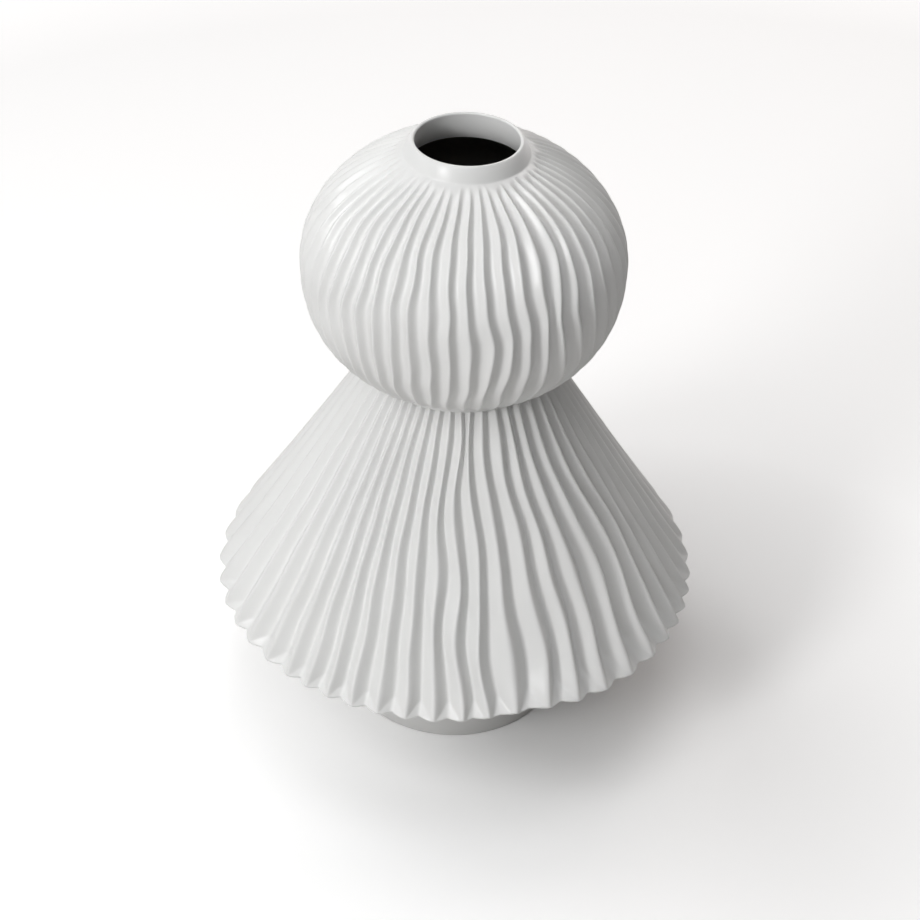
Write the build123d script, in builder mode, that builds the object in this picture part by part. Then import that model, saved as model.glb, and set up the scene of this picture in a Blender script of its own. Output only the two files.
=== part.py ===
from build123d import *
import os
from math import acos, cos, exp, hypot, radians, sin, tau
from typing import NamedTuple

# Fan vase in white porcelain: a pleated globe with a plain mouth, on a pleated skirt that opens like
# a fan, on a plain foot. Five cast sections stand on each other's rims. A spigot centres each one,
# and slip lutes it. +Z is up, the front faces -Y, and the origin is on the floor under the foot.
# Lengths are in millimetres and angles in degrees.

# Luted joints
slip_thickness = 0.6
spigot_length = 5.0
cut_overrun = 3.0

# Foot ring
foot_radius = 50.0
foot_wall = 8.0
foot_height = 12.0
foot_bevel = 1.0

# Base, which closes the skirt from the foot ring up to the hem
base_height = 54.5
base_wall = 5.5
base_floor = 6.0
base_boss_depth = 3.0
rim_height = 0.6
ledge_width = 5.0
ledge_rise = 3.0
hem_overhang = 2.8

# Skirt
skirt_height = 114.4
skirt_hem_radius = 110.6
skirt_waist_radius = 40.5
skirt_sag = 0.9
hem_turn = 1.5
hem_turn_height = 9.0
skirt_wall = 4.6
skirt_hem_pleat_depth = 5.6
skirt_waist_pleat_depth = 2.0
skirt_pleats = 50

# Bulb: a round with its own rise above the equator and drop below it
bulb_radius = 69.8
bulb_rise = 55.0
bulb_rise_power = 1.95
bulb_drop = 58.2
bulb_drop_power = 2.31
bulb_foot_radius = 38.0
bulb_land_width = 3.2
bulb_wall = 4.6
bulb_spigot_wall = 4.0
bulb_pleat_depth = 2.6
bulb_top_pleat_depth = 0.3
bulb_foot_fade_share = 0.9
bulb_top_fade_power = 5
bulb_foot_fade_power = 2
bulb_pleats = 52
bulb_bands = 6

# Mouth collar
mouth_radius = 21.8
collar_spigot_wall = 2.6
throat_flare = 1.6
lip_round = 0.9
lip_lean = 42.0
collar_height = 6.4
collar_flange_edge = 0.3
collar_flange_radius = 27.4
neck_swell = 0.35

# One pleat across, as shares of its pitch and of its depth. The skirt's has a blunt crest and a sharp
# valley, the bulb's a sharp crest and a round valley, and both lean a little to one side.
skirt_corner_place_shares = [-0.5, -0.16, 0.04, 0.22]
skirt_corner_height_shares = [0.0, 0.71, 1.0, 0.71]
bulb_corner_place_shares = [-0.5, -0.35, 0.04, 0.37]
bulb_corner_height_shares = [0.0, 0.15, 1.0, 0.15]

# Levels of the skirt's sections, from the waist down to the hem
skirt_level_shares = [0.0, 0.12, 0.24, 0.35, 0.46, 0.57, 0.68, 0.79, 0.90, 1.0]


class Crowding(NamedTuple):
    """A place where the carver's ridges run to one side, so that they stand closer or wider."""

    at: float
    spread: float
    reach: float


class Swell(NamedTuple):
    """A place where ridges sway sideways on their way down."""

    at: float
    spread: float
    reach: float
    peak_share: float
    length_share: float


class Pleating(NamedTuple):
    """All pleats of one section: their count, the first ridge, their corners and how they waver."""

    pleats: int
    first_ridge: float
    place_shares: list
    height_shares: list
    crowdings: list
    swells: list


skirt_crowdings = [
    Crowding(at=-66, spread=12, reach=-1.3),
    Crowding(at=-64, spread=36, reach=10),
    Crowding(at=-15, spread=14, reach=0.9),
    Crowding(at=11, spread=6, reach=-1.0),
    Crowding(at=24, spread=6, reach=0.8),
    Crowding(at=55, spread=20, reach=5),
    Crowding(at=150, spread=30, reach=6),
]
skirt_swells = [
    Swell(at=-18, spread=30, reach=1.4, peak_share=1.0, length_share=1.3),
    Swell(at=-1, spread=6, reach=1.2, peak_share=0.54, length_share=0.44),
    Swell(at=9, spread=5, reach=1.2, peak_share=0.46, length_share=0.62),
    Swell(at=17, spread=5, reach=0.6, peak_share=0.40, length_share=0.45),
    Swell(at=24, spread=6, reach=0.6, peak_share=0.41, length_share=0.35),
    Swell(at=30, spread=30, reach=1.3, peak_share=0.71, length_share=1.3),
    Swell(at=50, spread=14, reach=1.5, peak_share=0.56, length_share=0.66),
    Swell(at=125, spread=30, reach=1.5, peak_share=0.30, length_share=1.0),
    Swell(at=-130, spread=34, reach=1.5, peak_share=0.60, length_share=1.1),
]
bulb_first_ridge = 1.8
bulb_crowdings = [
    Crowding(at=-58, spread=28, reach=2.2),
    Crowding(at=62, spread=30, reach=2.8),
    Crowding(at=165, spread=34, reach=4.0),
]
bulb_swells = [
    Swell(at=-50, spread=14, reach=0.8, peak_share=0.05, length_share=0.32),
    Swell(at=-21, spread=8, reach=0.6, peak_share=0.32, length_share=0.30),
    Swell(at=-8, spread=30, reach=1.1, peak_share=0.63, length_share=0.75),
    Swell(at=12, spread=12, reach=0.8, peak_share=0.11, length_share=0.42),
    Swell(at=38, spread=7, reach=1.5, peak_share=0.23, length_share=0.52),
    Swell(at=48, spread=22, reach=1.6, peak_share=0.20, length_share=0.52),
    Swell(at=120, spread=26, reach=1.6, peak_share=0.40, length_share=0.7),
    Swell(at=-125, spread=30, reach=1.6, peak_share=0.25, length_share=0.8),
]
skirt_pleating = Pleating(
    skirt_pleats, 0, skirt_corner_place_shares, skirt_corner_height_shares, skirt_crowdings, skirt_swells
)
bulb_pleating = Pleating(
    bulb_pleats,
    bulb_first_ridge,
    bulb_corner_place_shares,
    bulb_corner_height_shares,
    bulb_crowdings,
    bulb_swells,
)


def polar(radius, angle):
    """A point round the axis, where angle 0 is the front and angles grow towards +X."""
    return radius * sin(radians(angle)), -radius * cos(radians(angle))


def bump(angle, feature):
    """How much of a crowding or swell is felt at an angle, from 0 to 1."""
    away = (angle - feature.at + 180) % 360 - 180
    return exp(-((away / feature.spread) ** 2))


def ridge_angle(place, level_share, pleating):
    """Where the line that belongs at an even place really runs, at one level."""
    angle = place
    for crowding in pleating.crowdings:
        angle += crowding.reach * bump(place, crowding)
    for swell in pleating.swells:
        phase = tau * (level_share - swell.peak_share) / swell.length_share
        angle += swell.reach * bump(place, swell) * cos(phase)
    return angle


def pleat_corners(crest_radius, depth, level_share, pleating):
    """The corners of one level's outline, pleat by pleat."""
    corners = []
    for pleat in range(pleating.pleats):
        for place_share, height_share in zip(pleating.place_shares, pleating.height_shares):
            place = pleating.first_ridge + (pleat + place_share) * 360 / pleating.pleats
            angle = ridge_angle(place, level_share, pleating)
            corners.append(polar(crest_radius - depth * (1 - height_share), angle))
    return corners


def round_height(radius, equator_radius, rise, power):
    """Height over the equator of a round body at one radius."""
    return rise * (1 - (radius / equator_radius) ** power) ** (1 / power)


def round_turn(radius, equator_radius, power):
    """The turn, from the equator, at which a round body has one radius."""
    return acos((radius / equator_radius) ** (power / 2))


def round_point(turn, equator_radius, rise, power):
    """Radius and height over the equator of a round body at one turn."""
    return equator_radius * cos(turn) ** (2 / power), rise * sin(turn) ** (2 / power)


# Joints, from the foot up
hem_z = foot_height + slip_thickness + base_height
waist_z = hem_z + skirt_height
bulb_bottom_z = waist_z + slip_thickness
equator_z = bulb_bottom_z + round_height(bulb_foot_radius, bulb_radius, bulb_drop, bulb_drop_power)
collar_spigot_radius = mouth_radius + collar_spigot_wall
bulb_hole_radius = collar_spigot_radius + slip_thickness
bulb_top_radius = bulb_hole_radius + bulb_land_width
bulb_top_z = equator_z + round_height(bulb_top_radius, bulb_radius, bulb_rise, bulb_rise_power)
collar_bottom_z = bulb_top_z + slip_thickness
lip_z = collar_bottom_z + collar_height

rim_radius = skirt_hem_radius - hem_overhang
ledge_radius = rim_radius - ledge_width
ledge_z = hem_z + ledge_rise


def skirt_crest_radius(z):
    """Outer radius of the skirt: a straight flare, a little hollow, which turns in at the hem."""
    share = (waist_z - z) / skirt_height
    flare_end = skirt_hem_radius + hem_turn
    radius = skirt_waist_radius + (flare_end - skirt_waist_radius) * share
    radius -= skirt_sag * 4 * share * (1 - share)
    turn_share = max(0, 1 - (z - hem_z) / hem_turn_height)
    return radius - hem_turn * turn_share**2


def skirt_pleat_depth(z):
    share = (waist_z - z) / skirt_height
    return skirt_waist_pleat_depth + (skirt_hem_pleat_depth - skirt_waist_pleat_depth) * share


skirt_throat_radius = skirt_waist_radius - skirt_waist_pleat_depth - skirt_wall
skirt_seat_radius = skirt_crest_radius(ledge_z) - skirt_pleat_depth(ledge_z) - skirt_wall
bulb_spigot_radius = skirt_throat_radius - slip_thickness
bulb_spigot_bore = bulb_spigot_radius - bulb_spigot_wall
base_spigot_radius = skirt_seat_radius - slip_thickness
foot_bore = foot_radius - foot_wall
base_boss_radius = foot_bore - slip_thickness

# Skirt: pleated sections lofted from the waist to the hem, then hollowed
with BuildPart() as skirt:
    for level_share in skirt_level_shares:
        z = waist_z - skirt_height * level_share
        corners = pleat_corners(skirt_crest_radius(z), skirt_pleat_depth(z), level_share, skirt_pleating)
        with BuildSketch(Plane.XY.offset(z)):
            with BuildLine():
                Polyline(*corners, close=True)
            make_face()
    loft(ruled=True)
    with BuildSketch(Plane.XZ):
        with BuildLine():
            Polyline(
                (0, waist_z + cut_overrun),
                (skirt_throat_radius, waist_z + cut_overrun),
                (skirt_throat_radius, waist_z - spigot_length),
                (skirt_seat_radius, ledge_z + spigot_length),
                (skirt_seat_radius, ledge_z),
                (ledge_radius, ledge_z),
                (rim_radius, hem_z),
                (rim_radius, hem_z - cut_overrun),
                (0, hem_z - cut_overrun),
                close=True,
            )
        make_face()
    revolve(axis=Axis.Z, mode=Mode.SUBTRACT)

# Base: a dish with a floor, a boss that drops into the foot ring and a rim that carries the skirt
base_bottom_z = foot_height + slip_thickness
base_floor_z = base_bottom_z + base_floor
base_rim_z = hem_z - slip_thickness
base_spigot_top_z = ledge_z + spigot_length
base_spigot_bore = base_spigot_radius - base_wall
base_spread = (rim_radius - foot_radius) / (base_rim_z - rim_height - base_bottom_z)
base_wall_run = base_wall * hypot(1, base_spread)
base_floor_radius = foot_radius + base_spread * base_floor - base_wall_run
base_bend_z = base_bottom_z + (base_spigot_bore + base_wall_run - foot_radius) / base_spread
with BuildPart() as base:
    with BuildSketch(Plane.XZ):
        with BuildLine():
            Polyline(
                (0, base_bottom_z - base_boss_depth),
                (base_boss_radius, base_bottom_z - base_boss_depth),
                (base_boss_radius, base_bottom_z),
                (foot_radius, base_bottom_z),
                (rim_radius, base_rim_z - rim_height),
                (rim_radius, base_rim_z),
                (ledge_radius, ledge_z - slip_thickness),
                (base_spigot_radius, ledge_z - slip_thickness),
                (base_spigot_radius, base_spigot_top_z),
                (base_spigot_bore, base_spigot_top_z),
                (base_spigot_bore, base_bend_z),
                (base_floor_radius, base_floor_z),
                (0, base_floor_z),
                close=True,
            )
        make_face()
    revolve(axis=Axis.Z)

# Foot ring, bevelled where it stands
with BuildPart() as foot_ring:
    with BuildSketch(Plane.XY):
        Circle(foot_radius)
        Circle(foot_bore, mode=Mode.SUBTRACT)
    extrude(amount=foot_height)
    chamfer(foot_ring.faces().sort_by(Axis.Z)[0].edges(), foot_bevel)

# Bulb: pleated sections lofted from the mouth to the waist, a spigot under it, then hollowed
top_turn = round_turn(bulb_top_radius, bulb_radius, bulb_rise_power)
foot_turn = round_turn(bulb_foot_radius, bulb_radius, bulb_drop_power)
rise_turns = [top_turn * (1 - band / bulb_bands) for band in range(bulb_bands)]
drop_turns = [foot_turn * band / bulb_bands for band in range(bulb_bands + 1)]


def bulb_pleat_run(turn, side):
    """Depth of a valley measured level, which grows where the wall leans. Valleys fade at both ends."""
    if side > 0:
        rise, end_share, fade_power = bulb_rise, turn / top_turn, bulb_top_fade_power
        end_depth = bulb_top_pleat_depth
    else:
        rise, end_share, fade_power = bulb_drop, turn / foot_turn, bulb_foot_fade_power
        end_depth = bulb_pleat_depth * (1 - bulb_foot_fade_share)
    depth = bulb_pleat_depth + (end_depth - bulb_pleat_depth) * end_share**fade_power
    lean_out, lean_up = cos(turn) / bulb_radius, sin(turn) / rise
    return depth * hypot(lean_out, lean_up) / lean_out


def inner_round(turns, rise, power, side):
    """Points of the inner wall along one half of the bulb."""
    shrink = bulb_pleat_depth + bulb_wall
    points = []
    for turn in turns:
        radius, height = round_point(turn, bulb_radius - shrink, rise - shrink, power)
        points.append((radius, equator_z + side * height))
    return points


inner_radius = bulb_radius - bulb_pleat_depth - bulb_wall
inner_top_turn = round_turn(bulb_hole_radius, inner_radius, bulb_rise_power)
inner_foot_turn = round_turn(bulb_spigot_bore, inner_radius, bulb_drop_power)
inner_rise_turns = [inner_top_turn * (1 - band / bulb_bands) for band in range(bulb_bands)]
inner_drop_turns = [inner_foot_turn * band / bulb_bands for band in range(bulb_bands + 1)]

with BuildPart() as bulb:
    halves = [(turn, bulb_rise, bulb_rise_power, 1) for turn in rise_turns]
    halves += [(turn, bulb_drop, bulb_drop_power, -1) for turn in drop_turns]
    for turn, rise, power, side in halves:
        crest_radius, height = round_point(turn, bulb_radius, rise, power)
        level_share = (top_turn - side * turn) / (top_turn + foot_turn)
        corners = pleat_corners(crest_radius, bulb_pleat_run(turn, side), level_share, bulb_pleating)
        with BuildSketch(Plane.XY.offset(equator_z + side * height)):
            with BuildLine():
                Polyline(*corners, close=True)
            make_face()
    loft(ruled=True)
    with BuildSketch(Plane.XY.offset(waist_z - spigot_length)):
        Circle(bulb_spigot_radius)
    extrude(amount=spigot_length + slip_thickness)
    with BuildSketch(Plane.XZ):
        with BuildLine():
            Polyline(
                (0, bulb_top_z + cut_overrun),
                (bulb_hole_radius, bulb_top_z + cut_overrun),
                *inner_round(inner_rise_turns, bulb_rise, bulb_rise_power, 1),
                *inner_round(inner_drop_turns, bulb_drop, bulb_drop_power, -1),
                (bulb_spigot_bore, waist_z - spigot_length - cut_overrun),
                (0, waist_z - spigot_length - cut_overrun),
                close=True,
            )
        make_face()
    revolve(axis=Axis.Z, mode=Mode.SUBTRACT)

# Mouth collar: a bore with a rounded lip, a neck that swells down to the bulb and a spigot inside it
lip_centre = Vector(mouth_radius + lip_round, lip_z - lip_round)
flange_edge = Vector(collar_flange_radius, collar_bottom_z + collar_flange_edge)
lip_crown_angle = (180 + lip_lean) / 2


def lip_point(angle):
    """A point of the lip's rounding, where angle 0 points outwards."""
    return lip_centre + Vector(lip_round * cos(radians(angle)), lip_round * sin(radians(angle)))


neck_top = lip_point(lip_lean)
neck_run = flange_edge - neck_top
neck_middle = neck_top + neck_run / 2 + Vector(-neck_run.Y, neck_run.X).normalized() * neck_swell
with BuildPart() as mouth_collar:
    with BuildSketch(Plane.XZ):
        with BuildLine():
            ThreePointArc(lip_point(180), lip_point(lip_crown_angle), neck_top)
            ThreePointArc(neck_top, neck_middle, flange_edge)
            Polyline(
                flange_edge,
                (collar_flange_radius, collar_bottom_z),
                (collar_spigot_radius, collar_bottom_z),
                (collar_spigot_radius, bulb_top_z - spigot_length),
                (mouth_radius + throat_flare, bulb_top_z - spigot_length),
                (mouth_radius, bulb_top_z),
                lip_point(180),
            )
        make_face()
    revolve(axis=Axis.Z)

# Slip joints: thin rings that fill the space between two rims and round the spigot
with BuildPart() as collar_slip_joint:
    with BuildSketch(Plane.XY.offset(bulb_top_z)):
        Circle(bulb_top_radius - bulb_pleat_run(top_turn, 1))
        Circle(collar_spigot_radius, mode=Mode.SUBTRACT)
    extrude(amount=slip_thickness)

with BuildPart() as waist_slip_joint:
    with BuildSketch(Plane.XY.offset(waist_z)):
        Circle(skirt_waist_radius - skirt_waist_pleat_depth)
        Circle(bulb_spigot_radius, mode=Mode.SUBTRACT)
    extrude(amount=slip_thickness)

with BuildPart() as hem_slip_joint:
    with BuildSketch(Plane.XZ):
        with BuildLine():
            Polyline(
                (rim_radius, base_rim_z),
                (rim_radius, hem_z),
                (ledge_radius, ledge_z),
                (base_spigot_radius, ledge_z),
                (base_spigot_radius, ledge_z - slip_thickness),
                (ledge_radius, ledge_z - slip_thickness),
                close=True,
            )
        make_face()
    revolve(axis=Axis.Z)

with BuildPart() as foot_slip_joint:
    with BuildSketch(Plane.XY.offset(foot_height)):
        Circle(foot_radius)
        Circle(base_boss_radius, mode=Mode.SUBTRACT)
    extrude(amount=slip_thickness)

mouth_collar.part.label = "mouth_collar"
bulb.part.label = "bulb"
skirt.part.label = "skirt"
base.part.label = "base"
foot_ring.part.label = "foot_ring"
collar_slip_joint.part.label = "collar_slip_joint"
waist_slip_joint.part.label = "waist_slip_joint"
hem_slip_joint.part.label = "hem_slip_joint"
foot_slip_joint.part.label = "foot_slip_joint"

os.makedirs("parts", exist_ok=True)
export_step(mouth_collar.part, "parts/mouth_collar.step")
export_step(bulb.part, "parts/bulb.step")
export_step(skirt.part, "parts/skirt.step")
export_step(base.part, "parts/base.step")
export_step(foot_ring.part, "parts/foot_ring.step")
export_step(collar_slip_joint.part, "parts/collar_slip_joint.step")
export_step(waist_slip_joint.part, "parts/waist_slip_joint.step")
export_step(hem_slip_joint.part, "parts/hem_slip_joint.step")
export_step(foot_slip_joint.part, "parts/foot_slip_joint.step")
print(f"height {lip_z:.2f}, shoulder {bulb_top_z:.2f}, equator {equator_z:.2f}")
print(f"waist {waist_z:.2f}, hem {hem_z:.2f}")
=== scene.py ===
from math import acos, cos, pi, radians, sin
from typing import NamedTuple

import bpy
import numpy as np
from mathutils import Matrix, Vector


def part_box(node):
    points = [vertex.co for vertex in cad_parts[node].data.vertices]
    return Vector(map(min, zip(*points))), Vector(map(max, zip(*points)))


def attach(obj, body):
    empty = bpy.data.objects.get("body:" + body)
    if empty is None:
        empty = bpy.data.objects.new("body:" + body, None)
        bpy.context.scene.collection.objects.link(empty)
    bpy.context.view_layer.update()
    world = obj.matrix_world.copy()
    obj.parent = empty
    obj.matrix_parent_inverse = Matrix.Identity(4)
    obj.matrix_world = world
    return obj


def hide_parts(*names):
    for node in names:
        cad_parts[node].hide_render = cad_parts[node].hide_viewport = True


# Fan vase in white porcelain, in metres and degrees. The front faces -Y.
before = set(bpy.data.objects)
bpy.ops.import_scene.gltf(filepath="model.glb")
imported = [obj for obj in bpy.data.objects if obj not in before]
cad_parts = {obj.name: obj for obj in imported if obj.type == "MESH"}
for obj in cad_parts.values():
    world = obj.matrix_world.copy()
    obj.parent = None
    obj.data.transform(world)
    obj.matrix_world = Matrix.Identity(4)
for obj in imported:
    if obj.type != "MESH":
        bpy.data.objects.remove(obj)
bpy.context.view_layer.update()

# Heights and radii that the frame gives
hem_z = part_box("skirt")[0][2]
waist_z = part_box("skirt")[1][2]
lip_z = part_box("mouth_collar")[1][2]
collar_low_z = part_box("mouth_collar")[0][2]
foot_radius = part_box("foot_ring")[1][0]
foot_top_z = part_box("foot_slip_joint")[1][2]

# Skirt
skirt_height = waist_z - hem_z
skirt_hem_radius = 0.1104
skirt_waist_radius = 0.0405
skirt_sag = 0.0009
hem_turn = 0.0015
hem_turn_height = 0.009
skirt_hem_depth = 0.0060
skirt_waist_depth = 0.0024
skirt_pleats = 50
skirt_first_ridge = 0
skirt_inner_waist_radius = 0.0335
skirt_inner_hem_radius = 0.0975

# Rim under the hem, which closes the valleys. The crests stand over it like teeth.
rim_radius = 0.1070
rim_edge = 0.0010
rim_edge_straight_share = 0.6
rim_edge_inset_share = 0.4
rim_cut = 0.0028
rim_round_power = 1.6
tip_inset = 0.0003
tip_slope = 1.2
ledge_fall = 0.9
ledge_blend = 0.0004
ledge_height = 0.006
lift_height = 0.020

# Bulb, with its own height and fullness above and below the equator
equator_z = 0.23362
bulb_radius = 0.0697
bulb_rise = 0.0550
bulb_rise_power = 1.95
bulb_drop = 0.0582
bulb_drop_power = 2.31
bulb_wall = 0.0068
bulb_start_radius = 0.0250
bulb_foot_radius = 0.0404
bulb_foot_inset = 0.0003
bulb_foot_sunk = 0.0004
bulb_depth = 0.0028
bulb_foot_fade_share = 0.9
bulb_pleats = 52
bulb_first_ridge = 1.8

# Where the bulb's flutes begin, beside the collar
flute_start_radius = 0.0270
flute_start_power = 5.5
flute_start_sharpening = 2.0
flute_start_wander = 0.02

# Collar
mouth_radius = 0.0218
throat_radius = 0.0246
throat_overlap = 0.0006
throat_z = collar_low_z - throat_overlap
throat_straight = 0.0035
throat_handle_radius = 0.0220
throat_handle_fall = 0.0085
lip_round = 0.0009
lip_lean = 42
neck_foot_radius = 0.0263
neck_foot_rise = 0.0004
neck_foot_lean = 21
shoulder_lean = 70
collar_foot_radius = 0.0274
collar_sunk = 0.00005
collar_buried_height = 0.001
collar_spigot_radius = 0.0262

# Foot and base
foot_wall = 0.008
foot_edge = 0.0010
foot_inner_radius = foot_radius - foot_wall
base_floor_thickness = 0.006
base_floor_z = foot_top_z + base_floor_thickness
base_hub_radius = 0.0005
base_rim_inset = 3 * rim_edge
base_rim_drop = 2 * rim_edge

# How finely the meshes are divided
pleat_samples = 16
skirt_rows = 100
hem_rows = 28
bulb_rows = 60
inner_rows = 12
lathe_columns = 240
throat_steps = 12
lip_steps = 12
neck_steps = 10
shoulder_steps = 8
foot_edge_steps = 6

# Edges that turn by more than this are shaded sharp
pleat_crease = 80
lathe_crease = 50
base_crease = 30


class Crowding(NamedTuple):
    """A place where the carver's ridges run to one side, so that they stand closer or wider."""

    at: float
    spread: float
    reach: float


class Swell(NamedTuple):
    """A place where ridges sway sideways on their way down."""

    at: float
    spread: float
    reach: float
    peak_share: float
    length_share: float


class Tremble(NamedTuple):
    """A small unsteadiness of the hand: waves round the body and down it."""

    turns: int
    runs: float
    reach: float
    start: float


class Wave(NamedTuple):
    """Waves round the body: how many, and the angle at which they start."""

    turns: int
    start: float


class Section(NamedTuple):
    """A pleat seen from its end: how soft its crest and its valley are, and how far it leans."""

    crest_soft_share: float
    valley_soft_share: float
    lean_share: float


class Carve(NamedTuple):
    """A side where the pleats were cut deeper."""

    at: float
    spread: float
    gain: float


class Lift(NamedTuple):
    """A place where the hem was trimmed a little higher."""

    at: float
    spread: float
    reach: float


class Rub(NamedTuple):
    """A place where the teeth of the hem were rubbed down, so that the rim runs more evenly."""

    at: float
    spread: float
    reach: float
    even_share: float


# How the skirt was carved
skirt_section = Section(crest_soft_share=0.10, valley_soft_share=0.08, lean_share=0.04)
skirt_carve = Carve(at=75, spread=50, gain=0.85)
hem_rub = Rub(at=11, spread=11, reach=0.0016, even_share=0.7)
hem_lifts = [
    Lift(at=20, spread=11, reach=0.0024),
    Lift(at=-150, spread=14, reach=0.0012),
    Lift(at=110, spread=12, reach=0.0010),
]
skirt_crowdings = [
    Crowding(at=-66, spread=12, reach=-1.3),
    Crowding(at=-64, spread=36, reach=10),
    Crowding(at=-15, spread=14, reach=0.9),
    Crowding(at=11, spread=6, reach=-1.0),
    Crowding(at=24, spread=6, reach=0.8),
    Crowding(at=55, spread=20, reach=5),
    Crowding(at=150, spread=30, reach=6),
]
skirt_swells = [
    Swell(at=-18, spread=30, reach=1.4, peak_share=1.0, length_share=1.3),
    Swell(at=-1, spread=6, reach=1.2, peak_share=0.54, length_share=0.44),
    Swell(at=9, spread=5, reach=1.2, peak_share=0.46, length_share=0.62),
    Swell(at=17, spread=5, reach=0.6, peak_share=0.40, length_share=0.45),
    Swell(at=24, spread=6, reach=0.6, peak_share=0.41, length_share=0.35),
    Swell(at=30, spread=30, reach=1.3, peak_share=0.71, length_share=1.3),
    Swell(at=50, spread=14, reach=1.5, peak_share=0.56, length_share=0.66),
    Swell(at=125, spread=30, reach=1.5, peak_share=0.30, length_share=1.0),
    Swell(at=-130, spread=34, reach=1.5, peak_share=0.60, length_share=1.1),
]
skirt_trembles = [
    Tremble(turns=11, runs=2.7, reach=0.15, start=40),
    Tremble(turns=17, runs=-3.9, reach=0.12, start=200),
]

# How the bulb was carved
bulb_section = Section(crest_soft_share=0.10, valley_soft_share=0.35, lean_share=0.04)
bulb_carve = Carve(at=75, spread=50, gain=0.35)
flute_start_waves = [Wave(turns=9, start=40), Wave(turns=23, start=130)]
bulb_crowdings = [
    Crowding(at=-58, spread=28, reach=2.2),
    Crowding(at=62, spread=30, reach=2.8),
    Crowding(at=165, spread=34, reach=4.0),
]
bulb_swells = [
    Swell(at=-50, spread=14, reach=0.8, peak_share=0.05, length_share=0.32),
    Swell(at=-21, spread=8, reach=0.6, peak_share=0.32, length_share=0.30),
    Swell(at=-8, spread=30, reach=1.1, peak_share=0.63, length_share=0.75),
    Swell(at=12, spread=12, reach=0.8, peak_share=0.11, length_share=0.42),
    Swell(at=38, spread=7, reach=1.5, peak_share=0.23, length_share=0.52),
    Swell(at=48, spread=22, reach=1.6, peak_share=0.20, length_share=0.52),
    Swell(at=120, spread=26, reach=1.6, peak_share=0.40, length_share=0.7),
    Swell(at=-125, spread=30, reach=1.6, peak_share=0.25, length_share=0.8),
]
bulb_trembles = [
    Tremble(turns=7, runs=3.1, reach=0.25, start=70),
    Tremble(turns=19, runs=1.3, reach=0.20, start=10),
    Tremble(turns=9, runs=6.3, reach=0.16, start=250),
    Tremble(turns=13, runs=-4.4, reach=0.14, start=120),
]


def bump(angles, feature):
    """How much of a feature with a place and a spread is felt at each angle, from 0 to 1."""
    away = (angles - feature.at + 180) % 360 - 180
    return np.exp(-((away / feature.spread) ** 2))


def ridge_angles(places, level_share, crowdings, swells, trembles):
    """Where the lines that belong at even places really run, at one level."""
    angles = places.copy()
    for crowding in crowdings:
        angles += crowding.reach * bump(places, crowding)
    for swell in swells:
        phase = 2 * pi * (level_share - swell.peak_share) / swell.length_share
        angles += swell.reach * bump(places, swell) * cos(phase)
    for tremble in trembles:
        phase = np.radians(tremble.turns * places + tremble.start) + 2 * pi * tremble.runs * level_share
        angles += tremble.reach * np.sin(phase)
    return angles


def pleat_columns(pleats, first_ridge, section):
    """Even places and heights, from 0 in a valley to 1 on a crest, of the columns of all pleats.

    The flanks are straight, and the crest and the valley are soft.
    """
    phase = np.arange(pleat_samples) / pleat_samples
    crest_pull = 0.5 - 0.5 * np.cos(2 * pi * phase)
    soft = section.valley_soft_share + (section.crest_soft_share - section.valley_soft_share) * crest_pull
    flank = np.arccos((1 - soft) * np.cos(2 * pi * phase))
    heights = (flank - flank.min()) / (flank.max() - flank.min())
    across = phase - 0.5 + section.lean_share * crest_pull
    places = first_ridge + (np.arange(pleats)[:, None] + across[None, :]) * 360 / pleats
    return places.ravel(), np.tile(heights, pleats)


def carved(places, carve):
    """How many times as deep as usual the pleats are at each place."""
    return 1 + carve.gain * bump(places, carve)


def hem_lift(angles, z):
    """How far the hem's unevenness moves points at one level."""
    weight = np.clip(1 - (z - hem_z) / lift_height, 0, 1) ** 2
    return weight * sum(lift.reach * bump(angles, lift) for lift in hem_lifts)


def ring(radii, heights, angles):
    """Points round the axis. Angle 0 is the front, and angles grow towards +X."""
    turn = np.radians(angles)
    radii = np.broadcast_to(radii, turn.shape)
    heights = np.broadcast_to(heights, turn.shape)
    return np.stack([radii * np.sin(turn), -radii * np.cos(turn), heights], axis=1)


def mesh_from_rings(name, rings, materials, inner_from, crease_degrees):
    """A closed shell through rings of equal count, the last joined to the first.

    The rows between the ring inner_from and the last ring take the second material.
    """
    points = np.concatenate(rings)
    rows, columns = len(rings), len(rings[0])
    faces = []
    material_rows = []
    for row in range(rows):
        low, high = row * columns, (row + 1) % rows * columns
        for column in range(columns):
            after = (column + 1) % columns
            faces.append((low + column, high + column, high + after, low + after))
        material_rows += [1 if inner_from <= row < rows - 1 else 0] * columns
    mesh = bpy.data.meshes.new(name)
    mesh.from_pydata(points.tolist(), [], faces)
    for material in materials:
        mesh.materials.append(material)
    mesh.polygons.foreach_set("material_index", material_rows)
    mesh.validate()
    mesh.shade_smooth()
    mesh.set_sharp_from_angle(angle=radians(crease_degrees))
    piece = bpy.data.objects.new(name, mesh)
    bpy.context.scene.collection.objects.link(piece)
    return piece


lathe_angles = np.arange(lathe_columns) * 360 / lathe_columns


def lathe(name, outline, material):
    """A turned piece of one material from a closed outline of (radius, height) points."""
    rings = [ring(radius, height, lathe_angles) for radius, height in outline]
    return mesh_from_rings(name, rings, [material], len(rings), lathe_crease)


def arc(centre, radius, start, end, steps):
    """Points of an arc in the (radius, height) plane, from one angle to another. Angle 0 is outwards."""
    turns = np.radians(np.linspace(start, end, steps + 1))
    return [(centre[0] + radius * cos(turn), centre[1] + radius * sin(turn)) for turn in turns]


def bend(start, handle, end, steps):
    """Points of a smooth bend in the (radius, height) plane, drawn towards its handle."""
    share = np.linspace(0, 1, steps + 1)[:, None]
    points = (1 - share) ** 2 * np.array(start)
    points += 2 * share * (1 - share) * np.array(handle)
    points += share**2 * np.array(end)
    return [tuple(point) for point in points]


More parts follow.
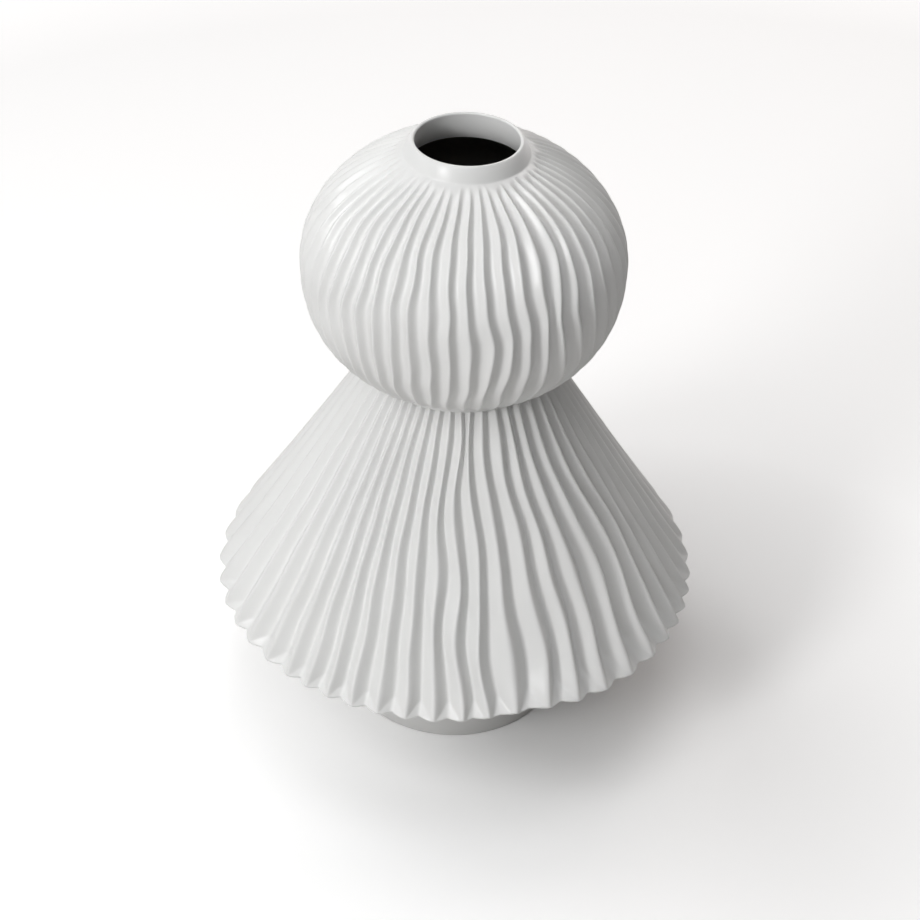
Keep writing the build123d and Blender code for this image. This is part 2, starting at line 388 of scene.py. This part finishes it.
def crossing(start, start_lean, end, end_lean):
    """Where a line down from start meets a line up from end. Leans are outwards from straight down."""
    first, last = radians(start_lean), radians(end_lean)
    run, fall = end[0] - start[0], start[1] - end[1]
    along = (run * cos(last) - fall * sin(last)) / sin(first - last)
    return start[0] + along * sin(first), start[1] - along * cos(first)


class Grain(NamedTuple):
    """Noise in a material: how fine it is, and how much finer detail it holds."""

    scale: float
    detail: float


# Glaze and clay
tone_clouds = Grain(scale=14, detail=3)
gloss_patches = Grain(scale=45, detail=2)
patch_range = (0.2, 0.8)
roughness_waver = 0.03
orange_peel = Grain(scale=260, detail=1)
peel_strength = 0.02
peel_height = 0.0006
porcelain_ior = 1.5
coat_roughness = 0.18

# Inside
inside_clouds = Grain(scale=30, detail=2)
inside_tone = (0.14, 0.13, 0.12)
inside_shade = (0.18, 0.17, 0.155)
inside_roughness = 0.6
inside_gloss = 0.2


def new_material(name):
    """A material, with its nodes, its links and its main shader."""
    material = bpy.data.materials.new(name)
    material.use_nodes = True
    nodes, links = material.node_tree.nodes, material.node_tree.links
    return material, nodes, links, nodes["Principled BSDF"]


def add_noise(nodes, links, grain):
    """Noise that is fixed to the piece."""
    coords = nodes.new("ShaderNodeTexCoord")
    noise = nodes.new("ShaderNodeTexNoise")
    noise.inputs["Scale"].default_value = grain.scale
    noise.inputs["Detail"].default_value = grain.detail
    links.new(coords.outputs["Object"], noise.inputs["Vector"])
    return noise.outputs["Fac"]


def cloud_colour(nodes, links, grain, tone, shade):
    """A colour that drifts between two tones in soft clouds."""
    mix = nodes.new("ShaderNodeMix")
    mix.data_type = "RGBA"
    mix.inputs["A"].default_value = (*tone, 1)
    mix.inputs["B"].default_value = (*shade, 1)
    links.new(add_noise(nodes, links, grain), mix.inputs["Factor"])
    return mix.outputs["Result"]


def ramp(nodes, links, source, source_range, result_range):
    """A straight remap from one range of values to another, held at both ends."""
    remap = nodes.new("ShaderNodeMapRange")
    remap.inputs["From Min"].default_value = source_range[0]
    remap.inputs["From Max"].default_value = source_range[1]
    remap.inputs["To Min"].default_value = result_range[0]
    remap.inputs["To Max"].default_value = result_range[1]
    links.new(source, remap.inputs["Value"])
    return remap.outputs["Result"]


def porcelain(name, tone, shade, roughness, gloss, coat):
    """White porcelain with soft clouds of tone, patches of gloss and a faint orange peel."""
    material, nodes, links, shader = new_material(name)
    links.new(cloud_colour(nodes, links, tone_clouds, tone, shade), shader.inputs["Base Color"])
    patches = add_noise(nodes, links, gloss_patches)
    roughness_range = (roughness - roughness_waver, roughness + roughness_waver)
    links.new(ramp(nodes, links, patches, patch_range, roughness_range), shader.inputs["Roughness"])
    bumps = nodes.new("ShaderNodeBump")
    bumps.inputs["Strength"].default_value = peel_strength
    bumps.inputs["Distance"].default_value = peel_height
    links.new(add_noise(nodes, links, orange_peel), bumps.inputs["Height"])
    links.new(bumps.outputs["Normal"], shader.inputs["Normal"])
    shader.inputs["IOR"].default_value = porcelain_ior
    shader.inputs["Specular IOR Level"].default_value = gloss
    shader.inputs["Coat Weight"].default_value = coat
    shader.inputs["Coat Roughness"].default_value = coat_roughness
    return material


def dark_inside(name):
    """A plain dark colour for the inside of the vase."""
    material, nodes, links, shader = new_material(name)
    colour = cloud_colour(nodes, links, inside_clouds, inside_tone, inside_shade)
    links.new(colour, shader.inputs["Base Color"])
    shader.inputs["Roughness"].default_value = inside_roughness
    shader.inputs["Specular IOR Level"].default_value = inside_gloss
    return material


glaze = porcelain(
    "porcelain_glaze",
    tone=(0.80, 0.80, 0.79),
    shade=(0.76, 0.765, 0.76),
    roughness=0.33,
    gloss=0.3,
    coat=0.15,
)
bare_clay = porcelain(
    "bare_clay",
    tone=(0.80, 0.80, 0.79),
    shade=(0.75, 0.75, 0.74),
    roughness=0.65,
    gloss=0.1,
    coat=0.0,
)
# The inside takes a plain dark colour, much darker than the white outside.
inside = dark_inside("inside_dark_colour")


def skirt_share(z):
    """How far down the skirt a height is: 0 at the waist and 1 at the hem."""
    return (waist_z - z) / skirt_height


def skirt_crest_radius(z):
    """Outer radius of the skirt: a straight flare, a little hollow, which turns in at the hem."""
    share = skirt_share(z)
    flare_end = skirt_hem_radius + hem_turn
    radius = skirt_waist_radius + (flare_end - skirt_waist_radius) * share
    radius -= skirt_sag * 4 * share * (1 - share)
    turn_share = max(0, 1 - (z - hem_z) / hem_turn_height)
    return radius - hem_turn * turn_share**2


def skirt_depth(z):
    """How deep the pleats are, which grows from the waist to the hem."""
    return skirt_waist_depth + (skirt_hem_depth - skirt_waist_depth) * skirt_share(z)


def skirt_line(z, places, heights):
    """Angles and radii of the skirt's outside at one height. At the hem the valleys end on a ledge."""
    angles = ridge_angles(places, skirt_share(z), skirt_crowdings, skirt_swells, skirt_trembles)
    pleats = skirt_crest_radius(z) - skirt_depth(z) * carved(places, skirt_carve) * (1 - heights)
    rubbed = bump(angles, hem_rub)
    tips = skirt_hem_radius - tip_inset - hem_rub.reach * rubbed
    rim = tips - rim_cut * (1 - hem_rub.even_share * rubbed) * (1 - heights) ** rim_round_power
    ledge = rim - (z - hem_z) / ledge_fall
    wider = (pleats + ledge + np.hypot(pleats - ledge, ledge_blend)) / 2
    return angles, np.minimum(wider, tips + tip_inset + (z - hem_z) * tip_slope)


def build_skirt():
    places, heights = pleat_columns(skirt_pleats, skirt_first_ridge, skirt_section)
    ledge_z = hem_z + ledge_height
    upper = np.linspace(waist_z, ledge_z, skirt_rows)
    lower = np.linspace(ledge_z, hem_z, hem_rows)[1:]
    rings = []
    for z in [*upper, *lower]:
        angles, radii = skirt_line(z, places, heights)
        rings.append(ring(radii, z + hem_lift(angles, z), angles))
    hem_angles, hem_radii = skirt_line(hem_z, places, heights)
    rim_z = hem_z + hem_lift(hem_angles, hem_z)
    rings.append(ring(hem_radii, rim_z - rim_edge * rim_edge_straight_share, hem_angles))
    rings.append(ring(hem_radii - rim_edge * rim_edge_inset_share, rim_z - rim_edge, hem_angles))
    inner_from = len(rings)
    for share in np.linspace(0, 1, inner_rows):
        radius = skirt_inner_hem_radius + (skirt_inner_waist_radius - skirt_inner_hem_radius) * share
        height = hem_z - rim_edge + (waist_z - hem_z + rim_edge) * share
        rings.append(ring(radius, height + hem_lift(hem_angles, height), hem_angles))
    skirt = mesh_from_rings("pleated_skirt", rings, [glaze, inside], inner_from, pleat_crease)
    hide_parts("skirt", "hem_slip_joint")
    return skirt


def round_turn(radius, equator_radius, power):
    """The turn, from the equator, at which a round body has one radius."""
    return acos((radius / equator_radius) ** (power / 2))


def bulb_half(turn):
    """Height and fullness of the half of the bulb that a turn lies in. Turns are positive above."""
    return (bulb_rise, bulb_rise_power) if turn > 0 else (bulb_drop, bulb_drop_power)


def bulb_point(turn, inset):
    """Radius and height of the bulb without its flutes at one turn, or of a body inset in it."""
    rise, power = bulb_half(turn)
    side = 1 if turn > 0 else -1
    radius = (bulb_radius - inset) * cos(turn) ** (2 / power)
    height = (rise - inset) * sin(abs(turn)) ** (2 / power)
    return radius, equator_z + side * height


def flute_starts(places):
    """The turns at which the flutes begin. They wander a little."""
    flute_turn = round_turn(flute_start_radius, bulb_radius, bulb_rise_power)
    waves = [np.sin(np.radians(wave.turns * places + wave.start)) for wave in flute_start_waves]
    return flute_turn * (1 + flute_start_wander * (sum(waves) / len(waves) - 1))


def flute_depths(turn, foot_turn, places):
    """How deep the flutes are at one turn. They run out at the collar, and nearly so at the foot."""
    start_powers = flute_start_power * (1 + flute_start_sharpening * bump(places, bulb_carve))
    start_shares = np.clip(turn / flute_starts(places), 0, 1)
    foot_share = max(0, -turn / foot_turn)
    depths = bulb_depth * (1 - start_shares**start_powers)
    depths *= 1 - bulb_foot_fade_share * foot_share**2
    return depths * carved(places, bulb_carve)


def bulb_angles(places, share):
    """Where the bulb's ridges run, from 0 at the top to 1 at the foot."""
    return ridge_angles(places, share, bulb_crowdings, bulb_swells, bulb_trembles)


def build_bulb():
    places, heights = pleat_columns(bulb_pleats, bulb_first_ridge, bulb_section)
    top_turn = round_turn(bulb_start_radius, bulb_radius, bulb_rise_power)
    foot_turn = round_turn(bulb_foot_radius, bulb_radius, bulb_drop_power)
    upper = np.linspace(top_turn, 0, bulb_rows)
    lower = -np.linspace(0, foot_turn, bulb_rows)[1:]
    rings = []
    for turn in [*upper, *lower]:
        rise, _ = bulb_half(turn)
        lean = Vector((cos(turn) / bulb_radius, sin(turn) / rise)).normalized()
        crest, level = bulb_point(turn, inset=0)
        angles = bulb_angles(places, (top_turn - turn) / (top_turn + foot_turn))
        sunk = flute_depths(turn, foot_turn, places) * (1 - heights)
        rings.append(ring(crest - sunk * lean.x, level - sunk * lean.y, angles))
    foot_angles = bulb_angles(places, 1)
    rings.append(ring(bulb_foot_radius - bulb_foot_inset, waist_z - bulb_foot_sunk, foot_angles))
    inner_from = len(rings)
    rings.append(ring(skirt_inner_waist_radius, waist_z, foot_angles))
    inner_radius = bulb_radius - bulb_wall
    inner_foot_turn = round_turn(skirt_inner_waist_radius, inner_radius, bulb_drop_power)
    inner_top_turn = round_turn(throat_radius, inner_radius, bulb_rise_power)
    inner_lower = -np.linspace(inner_foot_turn, 0, inner_rows)
    inner_upper = np.linspace(0, inner_top_turn, inner_rows)[1:]
    for turn in [*inner_lower, *inner_upper]:
        radius, level = bulb_point(turn, inset=bulb_wall)
        rings.append(ring(radius, level, foot_angles))
    bulb = mesh_from_rings("pleated_bulb", rings, [glaze, inside], inner_from, pleat_crease)
    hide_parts("bulb", "waist_slip_joint")
    return bulb


def bulb_top_height(radius):
    """Height of the bulb's surface at a radius near the mouth."""
    return equator_z + bulb_rise * (1 - (radius / bulb_radius) ** bulb_rise_power) ** (1 / bulb_rise_power)


def build_collar():
    throat_foot = (throat_radius, throat_z)
    throat_handle = (throat_handle_radius, lip_z - throat_handle_fall)
    throat_top = (mouth_radius, lip_z - throat_straight)
    outline = bend(throat_foot, throat_handle, throat_top, throat_steps)
    outline += arc((mouth_radius + lip_round, lip_z - lip_round), lip_round, 180, lip_lean, lip_steps)
    neck_top = outline[-1]
    neck_foot = (neck_foot_radius, bulb_top_height(neck_foot_radius) + neck_foot_rise)
    neck_handle = crossing(neck_top, lip_lean, neck_foot, neck_foot_lean)
    outline += bend(neck_top, neck_handle, neck_foot, neck_steps)[1:]
    collar_foot_z = bulb_top_height(collar_foot_radius) - collar_sunk
    collar_foot = (collar_foot_radius, collar_foot_z)
    shoulder_handle = crossing(neck_foot, neck_foot_lean, collar_foot, shoulder_lean)
    outline += bend(neck_foot, shoulder_handle, collar_foot, shoulder_steps)[1:]
    outline += [(collar_foot_radius, collar_foot_z - collar_buried_height), (collar_spigot_radius, throat_z)]
    collar = lathe("mouth_collar_shell", outline, glaze)
    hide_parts("mouth_collar", "collar_slip_joint")
    return collar


def build_base():
    low_z = hem_z - rim_edge
    outer = [
        (foot_inner_radius, foot_top_z),
        (foot_radius, foot_top_z),
        (rim_radius - base_rim_inset, low_z - base_rim_drop),
        (rim_radius - rim_edge, low_z),
    ]
    inner = [
        (skirt_inner_hem_radius, low_z),
        (foot_inner_radius, base_floor_z),
        (base_hub_radius, base_floor_z),
        (base_hub_radius, foot_top_z),
    ]
    rings = []
    for radius, z in outer + inner:
        lift = hem_lift(lathe_angles, z) if z > base_floor_z else 0
        rings.append(ring(radius, z + lift, lathe_angles))
    base = mesh_from_rings("closed_base", rings, [glaze, inside], len(outer), base_crease)
    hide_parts("base", "foot_slip_joint")
    return base


def build_foot():
    outline = [(foot_inner_radius, foot_top_z)]
    outline += arc((foot_inner_radius + foot_edge, foot_edge), foot_edge, 180, 270, foot_edge_steps)
    outline += arc((foot_radius - foot_edge, foot_edge), foot_edge, 270, 360, foot_edge_steps)
    outline += [(foot_radius, foot_top_z)]
    foot = lathe("foot_ring_shell", outline, bare_clay)
    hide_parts("foot_ring")
    return foot


for piece, slot_name in (
    (build_skirt(), "porcelain"),
    (build_bulb(), "porcelain"),
    (build_collar(), "porcelain"),
    (build_base(), "porcelain"),
    (build_foot(), "bisque"),
):
    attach(piece, "root")


# Floor, whose paper is seen as pure white with a glow that grows away from the vase's shadow
floor_half = 4.0
floor_colour = (0.68, 0.67, 0.66, 1)
floor_roughness = 0.9
seen_floor_colour = (1.0, 1.0, 1.0, 1)
glow_centre = (0.095, -0.02, 0)
near_glow_range = (0.06, 0.21)
near_glow = 0.245
far_glow_range = (0.75, 1.6)
far_glow = 0.75


def seen_share(nodes, links):
    """1 for what is seen, also in a reflection or through glass, and 0 for what lights the vase."""
    path = nodes.new("ShaderNodeLightPath")
    share = path.outputs["Is Camera Ray"]
    for ray in ("Is Glossy Ray", "Is Transmission Ray"):
        either = nodes.new("ShaderNodeMath")
        either.operation = "MAXIMUM"
        links.new(share, either.inputs[0])
        links.new(path.outputs[ray], either.inputs[1])
        share = either.outputs["Value"]
    return share


def floor_glow(nodes, links):
    """Light that the seen paper adds, by its distance from the middle of the shadow."""
    coords = nodes.new("ShaderNodeTexCoord")
    distance = nodes.new("ShaderNodeVectorMath")
    distance.operation = "DISTANCE"
    distance.inputs[1].default_value = glow_centre
    links.new(coords.outputs["Object"], distance.inputs[0])
    strength = nodes.new("ShaderNodeMath")
    strength.operation = "ADD"
    away = distance.outputs["Value"]
    links.new(ramp(nodes, links, away, near_glow_range, (0, near_glow)), strength.inputs[0])
    links.new(ramp(nodes, links, away, far_glow_range, (0, far_glow)), strength.inputs[1])
    glow = nodes.new("ShaderNodeEmission")
    links.new(strength.outputs["Value"], glow.inputs["Strength"])
    return glow.outputs["Emission"]


def floor_paper():
    """Paper that lights the vase as pale gray and is seen as white."""
    material, nodes, links, shader = new_material("floor_paper")
    shader.inputs["Base Color"].default_value = floor_colour
    shader.inputs["Roughness"].default_value = floor_roughness
    paper = nodes.new("ShaderNodeBsdfDiffuse")
    paper.inputs["Color"].default_value = seen_floor_colour
    seen = nodes.new("ShaderNodeAddShader")
    links.new(paper.outputs["BSDF"], seen.inputs[0])
    links.new(floor_glow(nodes, links), seen.inputs[1])
    mix = nodes.new("ShaderNodeMixShader")
    links.new(seen_share(nodes, links), mix.inputs["Fac"])
    links.new(shader.outputs["BSDF"], mix.inputs[1])
    links.new(seen.outputs["Shader"], mix.inputs[2])
    links.new(mix.outputs["Shader"], nodes["Material Output"].inputs["Surface"])
    return material


def build_floor():
    mesh = bpy.data.meshes.new("floor")
    corners = [(-floor_half, -floor_half, 0), (floor_half, -floor_half, 0)]
    corners += [(floor_half, floor_half, 0), (-floor_half, floor_half, 0)]
    mesh.from_pydata(corners, [], [(0, 1, 2, 3)])
    mesh.materials.append(floor_paper())
    floor = bpy.data.objects.new("floor", mesh)
    bpy.context.scene.collection.objects.link(floor)


build_floor()


class Lamp(NamedTuple):
    """A round soft lamp, placed by its angle from the front and its height angle."""

    name: str
    angle: float
    height: float
    size: float
    power: float
    colour: tuple


# Light: the main lamps at the front left, and weaker ones above and round the back
lamp_target = Vector((0, 0, 0.15))
lamp_distance = 1.7
neutral = (1.0, 1.0, 1.0)
warm = (1.0, 0.945, 0.92)
lamps = [
    Lamp("key_lamp", angle=-50, height=47, size=0.7, power=5.8, colour=neutral),
    Lamp("low_key_lamp", angle=-42, height=26, size=0.45, power=9.4, colour=neutral),
    Lamp("low_left_lamp", angle=-80, height=12, size=1.0, power=1.4, colour=neutral),
    Lamp("front_lamp", angle=-8, height=52, size=1.0, power=4.6, colour=neutral),
    Lamp("top_lamp", angle=0, height=87, size=1.0, power=5.3, colour=neutral),
    Lamp("back_left_lamp", angle=-130, height=45, size=1.0, power=4.0, colour=neutral),
    Lamp("back_lamp", angle=165, height=45, size=1.0, power=4.7, colour=warm),
    Lamp("back_right_lamp", angle=135, height=45, size=1.0, power=3.0, colour=warm),
    Lamp("low_back_lamp", angle=140, height=10, size=1.0, power=1.3, colour=warm),
]


def add_lamp(lamp):
    angle, height = radians(lamp.angle), radians(lamp.height)
    towards = Vector((cos(height) * sin(angle), -cos(height) * cos(angle), sin(height)))
    data = bpy.data.lights.new(lamp.name, "AREA")
    data.shape = "DISK"
    data.size = lamp.size
    data.energy = lamp.power
    data.color = lamp.colour
    holder = bpy.data.objects.new(lamp.name, data)
    holder.location = lamp_target + towards * lamp_distance
    holder.rotation_euler = (-towards).to_track_quat("-Z", "Y").to_euler()
    bpy.context.scene.collection.objects.link(holder)


for lamp in lamps:
    add_lamp(lamp)


# Room, which is seen as white and adds almost no light
room_colour = (1, 1, 1, 1)
room_light = 0.004
seen_room_light = 1.0


def build_world():
    world = bpy.data.worlds.new("pale_room")
    world.use_nodes = True
    nodes, links = world.node_tree.nodes, world.node_tree.links
    background = nodes["Background"]
    background.inputs["Color"].default_value = room_colour
    strength = ramp(nodes, links, seen_share(nodes, links), (0, 1), (room_light, seen_room_light))
    links.new(strength, background.inputs["Strength"])
    bpy.context.scene.world = world


build_world()

# Camera
camera_height = 0.73107
camera_distance = 0.79496
camera_tilt = 37.30815
camera_roll = 1.745516
camera_heading = 0.068721
camera_lens = 86.09
camera_sensor = 36


def build_camera():
    tilt, roll, heading = radians(camera_tilt), radians(camera_roll), radians(camera_heading)
    forward = Vector((sin(heading) * cos(tilt), cos(heading) * cos(tilt), -sin(tilt)))
    level_right = Vector((cos(heading), -sin(heading), 0))
    level_up = level_right.cross(forward)
    right = cos(roll) * level_right + sin(roll) * level_up
    up = cos(roll) * level_up - sin(roll) * level_right
    data = bpy.data.cameras.new("photo_camera")
    data.sensor_width = camera_sensor
    data.lens = camera_lens
    camera = bpy.data.objects.new("photo_camera", data)
    place = Vector((0, -camera_distance, camera_height))
    rows = [(right[i], up[i], -forward[i], place[i]) for i in range(3)]
    camera.matrix_world = Matrix([*rows, (0, 0, 0, 1)])
    bpy.context.scene.collection.objects.link(camera)
    bpy.context.scene.camera = camera


build_camera()
bpy.context.scene.view_settings.view_transform = "Standard"
